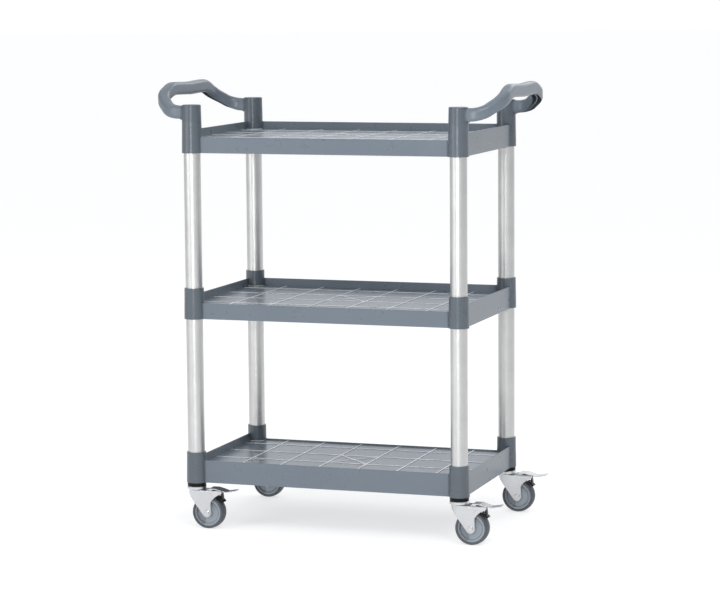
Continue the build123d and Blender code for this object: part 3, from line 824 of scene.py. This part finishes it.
class TROLLEY_OT_handles(bpy.types.Operator):
    """Give both end handles their plastic and round their open edges"""

    bl_idname = "trolley.handles"
    bl_label = "Finish Handles"

    def execute(self, context):
        settings = context.scene.trolley_finish
        material = handle_plastic(settings)
        for side in ("left", "right"):
            dress(f"{side}_handle", material, settings.handle_edge)
        return {"FINISHED"}


class TROLLEY_OT_posts(bpy.types.Operator):
    """Give the eight post tubes their satin anodising"""

    bl_idname = "trolley.posts"
    bl_label = "Finish Posts"

    def execute(self, context):
        settings = context.scene.trolley_finish
        material = anodised_aluminium(settings)
        for section in ("lower", "upper"):
            for corner in CORNERS:
                dress(f"{section}_post_{corner}", material, 0.0)
        return {"FINISHED"}


class TROLLEY_OT_caster_metal(bpy.types.Operator):
    """Plate the forks, pins and pedals, and finish the inserts, bearings and springs"""

    bl_idname = "trolley.caster_metal"
    bl_label = "Finish Caster Metal"

    def execute(self, context):
        settings = context.scene.trolley_finish
        zinc = bright_zinc()
        steel = bearing_steel()
        nylon = black_nylon()
        dress("caster_inserts", nylon, settings.metal_edge)
        dress("caster_stems", zinc, settings.metal_edge)
        for corner in CORNERS:
            for piece in ("fork", "axle_bolt", "axle_nut", "brake_pin", "brake_pedal"):
                dress(f"{corner}_{piece}", zinc, settings.metal_edge)
            for piece in ("race_balls", "axle_sleeve", "brake_spring"):
                dress(f"{corner}_{piece}", steel, 0.0)
            dress(f"{corner}_brake_shoe", nylon, settings.metal_edge)
        return {"FINISHED"}


class TROLLEY_OT_wheels(bpy.types.Operator):
    """Build the four moulded wheel centres with their ringed faces"""

    bl_idname = "trolley.wheels"
    bl_label = "Build Wheel Centres"

    def execute(self, context):
        material = hub_plastic(context.scene.trolley_finish)
        for corner in CORNERS:
            low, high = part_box(f"{corner}_wheel_hub")
            sleeve_low, sleeve_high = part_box(f"{corner}_axle_sleeve")
            bore_radius = (sleeve_high.z - sleeve_low.z) / 2 + BORE_PLAY
            profile = hub_profile(low, high, bore_radius, bore_radius + HUB_BOSS_WALL)
            piece = lathe(f"{corner}_wheel_centre", profile, wheel_centre(corner))
            piece.data.materials.append(material)
            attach(piece, f"{corner}_wheel")
            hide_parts(f"{corner}_wheel_hub")
        return {"FINISHED"}


class TROLLEY_OT_tyres(bpy.types.Operator):
    """Build the four rubber tyres with a crowned tread and a rib on each side"""

    bl_idname = "trolley.tyres"
    bl_label = "Build Tyres"

    def execute(self, context):
        settings = context.scene.trolley_finish
        material = tyre_rubber(settings)
        for corner in CORNERS:
            low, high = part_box(f"{corner}_tyre")
            hub_low, hub_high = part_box(f"{corner}_wheel_hub")
            bore_radius = (hub_high.z - hub_low.z) / 2 + BORE_PLAY
            profile = tyre_profile(
                low, high, bore_radius, settings.tyre_shoulder, settings.tyre_crown
            )
            piece = lathe(f"{corner}_rubber_tyre", profile, wheel_centre(corner))
            piece.data.materials.append(material)
            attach(piece, f"{corner}_wheel")
            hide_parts(f"{corner}_tyre")
        return {"FINISHED"}


class TROLLEY_OT_stage(bpy.types.Operator):
    """Set the pale floor, the soft studio lights and the camera"""

    bl_idname = "trolley.stage"
    bl_label = "Set Stage"

    def execute(self, context):
        add_floor()
        add_world()
        add_lights()
        add_camera()
        context.scene.view_settings.view_transform = "Standard"
        return {"FINISHED"}


# ---------------------------------------------------------------- stage
def add_floor():
    """A very wide pale disc with a plain finish."""
    rim = [(x, y, 0.0) for x, y in arc_points((0.0, 0.0), FLOOR_RADIUS, 0, 360, FLOOR_STEPS)[:-1]]
    mesh = bpy.data.meshes.new("studio_floor")
    mesh.from_pydata(rim, [], [tuple(range(FLOOR_STEPS))])
    floor = bpy.data.objects.new("studio_floor", mesh)
    bpy.context.scene.collection.objects.link(floor)
    material, _, shader = new_material("studio_floor")
    set_inputs(
        shader, Base_Color=grey(0.46), Roughness=0.9, Specular_IOR_Level=0.0,
        Emission_Color=grey(1.0), Emission_Strength=FLOOR_GLOW,
    )
    mesh.materials.append(material)


def add_world():
    """A near-white surround that is brighter behind the trolley than in front of it."""
    world = bpy.data.worlds.new("studio")
    bpy.context.scene.world = world
    world.use_nodes = True
    tree = world.node_tree
    background = tree.nodes["Background"]
    set_inputs(background, Color=SKY_COLOUR)
    where = place(tree, "ShaderNodeTexCoord", -700, 0)
    towards = place(tree, "ShaderNodeVectorMath", -500, 0, operation="DOT_PRODUCT")
    towards.inputs[1].default_value = BRIGHT_SIDE
    level = place(tree, "ShaderNodeMapRange", -300, 0)
    set_inputs(level, From_Min=0.55, From_Max=0.92, To_Min=DARK_LEVEL, To_Max=BRIGHT_LEVEL)
    tree.links.new(where.outputs["Generated"], towards.inputs[0])
    tree.links.new(towards.outputs["Value"], level.inputs["Value"])
    tree.links.new(level.outputs["Result"], background.inputs["Strength"])


def aim(obj, target):
    """Turn a light or camera to face a point."""
    direction = Vector(target) - obj.location
    obj.rotation_mode = "QUATERNION"
    obj.rotation_quaternion = direction.to_track_quat("-Z", "Y")


def add_lights():
    """Softboxes round the trolley, and broad light from overhead."""
    low, high = cad_box
    middle = (low + high) / 2
    for name, location, size, power in SOFTBOXES:
        data = bpy.data.lights.new(name, "AREA")
        data.shape = "RECTANGLE"
        data.size, data.size_y = size
        data.energy = power
        light = bpy.data.objects.new(name, data)
        bpy.context.scene.collection.objects.link(light)
        light.location = location
        light.visible_camera = False
        aim(light, middle)
    sun = bpy.data.lights.new("overhead", "SUN")
    sun.energy = OVERHEAD_STRENGTH
    sun.angle = math.radians(OVERHEAD_ANGLE)
    overhead = bpy.data.objects.new("overhead", sun)
    bpy.context.scene.collection.objects.link(overhead)


def add_camera():
    """The camera, with a long lens and no shift."""
    azimuth = math.radians(VIEW_AZIMUTH)
    elevation = math.radians(VIEW_ELEVATION)
    roll = math.radians(VIEW_ROLL)
    back = Vector(
        (
            math.sin(azimuth) * math.cos(elevation),
            -math.cos(azimuth) * math.cos(elevation),
            math.sin(elevation),
        )
    )
    level_right = Vector((math.cos(azimuth), math.sin(azimuth), 0.0))
    level_up = back.cross(level_right)
    right = level_right * math.cos(roll) + level_up * math.sin(roll)
    up = level_up * math.cos(roll) - level_right * math.sin(roll)
    data = bpy.data.cameras.new("studio_camera")
    data.lens = LENS
    data.sensor_width = SENSOR
    data.clip_end = VIEW_LIMIT
    camera = bpy.data.objects.new("studio_camera", data)
    bpy.context.scene.collection.objects.link(camera)
    camera.location = VIEW_MIDDLE + right * VIEW_ASIDE + up * VIEW_ABOVE + back * VIEW_DISTANCE
    camera.rotation_mode = "QUATERNION"
    camera.rotation_quaternion = Matrix((right, up, back)).transposed().to_quaternion()
    bpy.context.scene.camera = camera


# ---------------------------------------------------------------- panel
OPERATORS = (
    TROLLEY_OT_stage,
    TROLLEY_OT_trays,
    TROLLEY_OT_handles,
    TROLLEY_OT_posts,
    TROLLEY_OT_caster_metal,
    TROLLEY_OT_wheels,
    TROLLEY_OT_tyres,
)


class TROLLEY_PT_finish(bpy.types.Panel):
    """Lists the trolley's finish settings and steps"""

    bl_idname = "TROLLEY_PT_finish"
    bl_label = "Trolley Finish"
    bl_space_type = "VIEW_3D"
    bl_region_type = "UI"
    bl_category = "Trolley"

    def draw(self, context):
        settings = context.scene.trolley_finish
        for name in TrolleyFinishSettings.__annotations__:
            self.layout.prop(settings, name)
        for operator in OPERATORS:
            self.layout.operator(operator.bl_idname)


CLASSES = (TrolleyFinishSettings, *OPERATORS, TROLLEY_PT_finish)


def register():
    """Add the classes and their settings."""
    for item in CLASSES:
        bpy.utils.register_class(item)
    bpy.types.Scene.trolley_finish = PointerProperty(type=TrolleyFinishSettings)


def unregister():
    """Take the classes and their settings away."""
    del bpy.types.Scene.trolley_finish
    for item in reversed(CLASSES):
        bpy.utils.unregister_class(item)


def main():
    """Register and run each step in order."""
    register()
    for operator in OPERATORS:
        group_name, step = operator.bl_idname.split(".")
        getattr(getattr(bpy.ops, group_name), step)()


if __name__ == "__main__":
    main()
